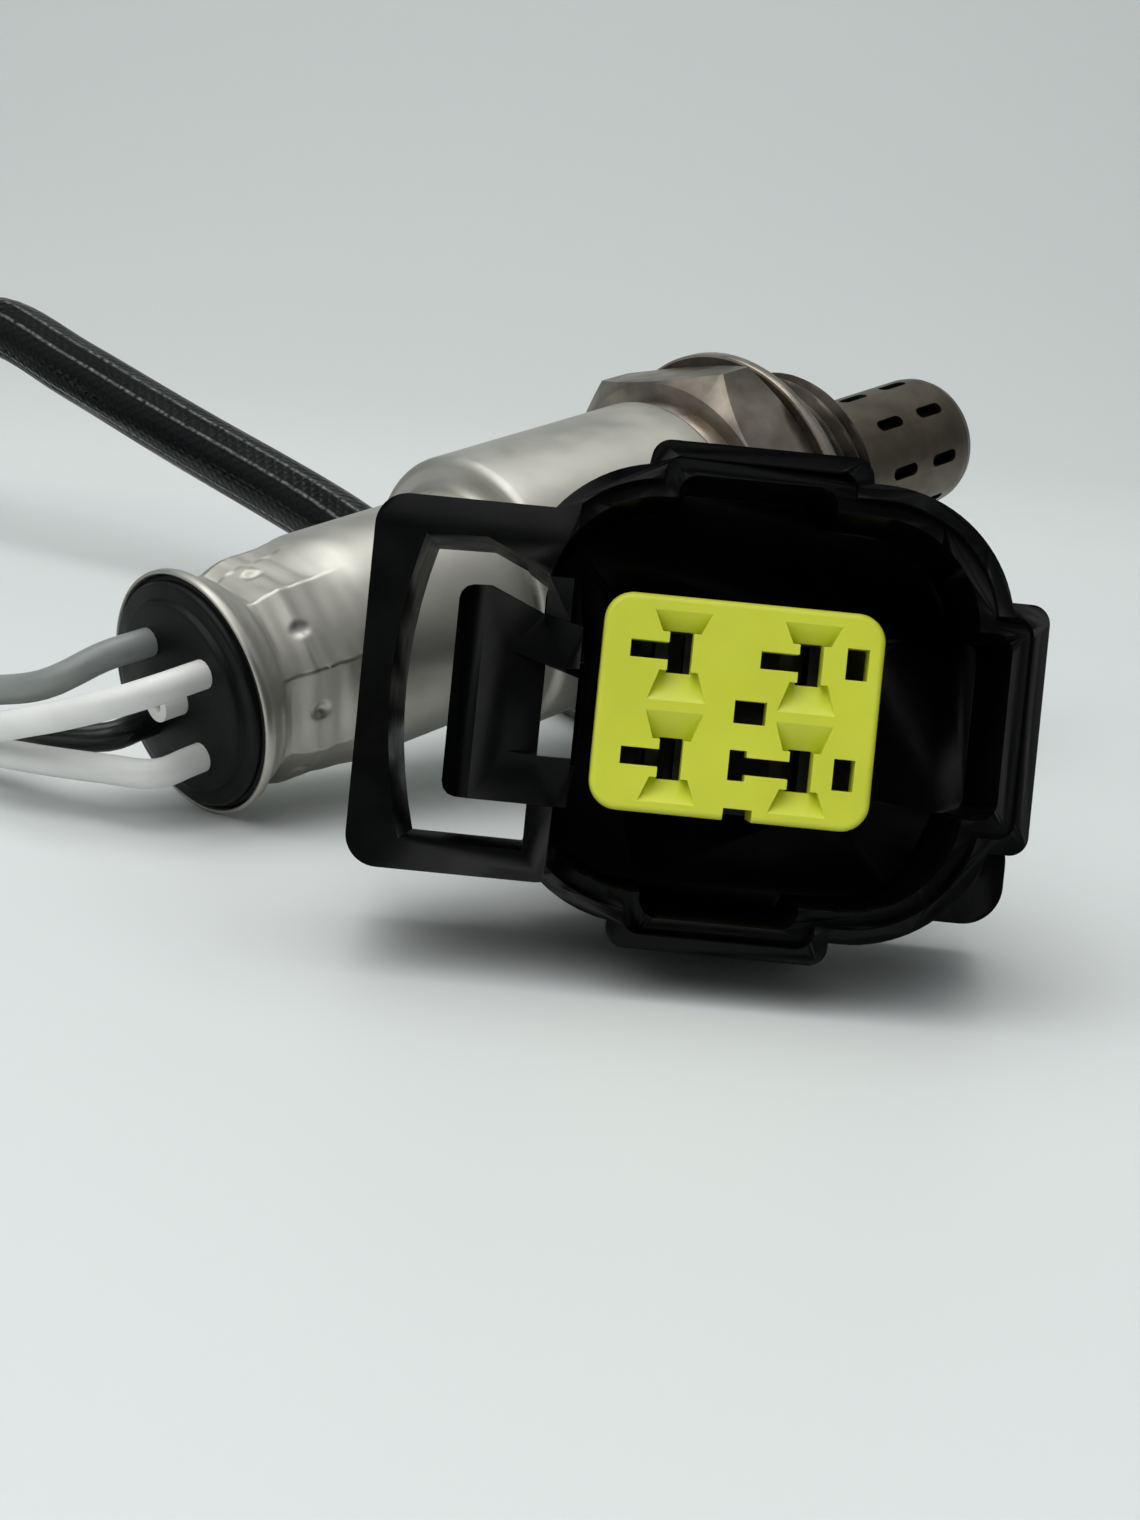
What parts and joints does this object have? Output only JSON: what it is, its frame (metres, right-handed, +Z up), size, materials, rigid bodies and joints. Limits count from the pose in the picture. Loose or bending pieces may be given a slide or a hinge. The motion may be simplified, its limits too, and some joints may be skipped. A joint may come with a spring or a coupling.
{
  "type": "heated exhaust oxygen sensor",
  "caption": "Heated exhaust gas oxygen sensor: threaded steel body with a slotted tip, a sleeved wire lead wound to a coil, and a sealed electrical plug.",
  "frame": {"origin": "under the middle of the sensor body's box, on the plane it lies on", "axes": "+Z up; the sensor body points between +X and +Y, its tip raised; the plug's mating face looks along -Y and a little up"},
  "size_m": [0.192, 0.1734, 0.0307],
  "materials": {
    "casing_steel": "drawn stainless steel, light satin",
    "shell_steel": "forged stainless steel, darkened by heat",
    "gasket_steel": "bright rolled steel",
    "tube_steel": "deep-drawn heat-resistant steel, straw tint",
    "contact_metal": "stamped spring metal",
    "terminal_metal": "tinned brass",
    "ceramic": "dense white ceramic",
    "talc": "pressed powder",
    "grommet_rubber": "matt moulded rubber",
    "ptfe": "white fluoropolymer",
    "white_insulation": "white wire insulation",
    "grey_insulation": "grey wire insulation",
    "black_insulation": "black wire insulation",
    "sleeve_rubber": "glossy black tubing",
    "tie_plastic": "black nylon",
    "plug_plastic": "black moulded nylon, fine satin",
    "lime_plastic": "yellow-green moulded polyester",
    "seal_rubber": "black silicone"
  },
  "bodies": {
    "root": {"hex_shell": "shell_steel", "gasket": "gasket_steel", "outer_protection_tube": "tube_steel", "inner_protection_tube": "tube_steel", "sensing_element": "ceramic", "heater_rod": "ceramic", "seat_washer": "contact_metal", "talc_ring": "talc", "packing_sleeve": "ceramic", "swage_ring": "contact_metal", "casing": "casing_steel", "contact_holder": "ceramic", "disc_spring": "contact_metal", "signal_contact": "contact_metal", "ground_contact": "contact_metal", "heater_contact_a": "contact_metal", "heater_contact_b": "contact_metal", "grommet": "grommet_rubber", "breather_plug": "ptfe", "white_wire_a": "white_insulation", "white_wire_b": "white_insulation", "grey_wire": "grey_insulation", "black_wire": "black_insulation", "sleeve_lead_in": "sleeve_rubber", "sleeve_coil": "sleeve_rubber", "sleeve_lead_out": "sleeve_rubber", "coil_tie": "tie_plastic", "connector_housing": "plug_plastic", "terminal_retainer": "lime_plastic", "interface_seal": "seal_rubber", "wire_seals": "seal_rubber", "seal_cover": "plug_plastic", "signal_terminal": "terminal_metal", "ground_terminal": "terminal_metal", "heater_terminal_a": "terminal_metal", "heater_terminal_b": "terminal_metal"}
  },
  "joints": []
}
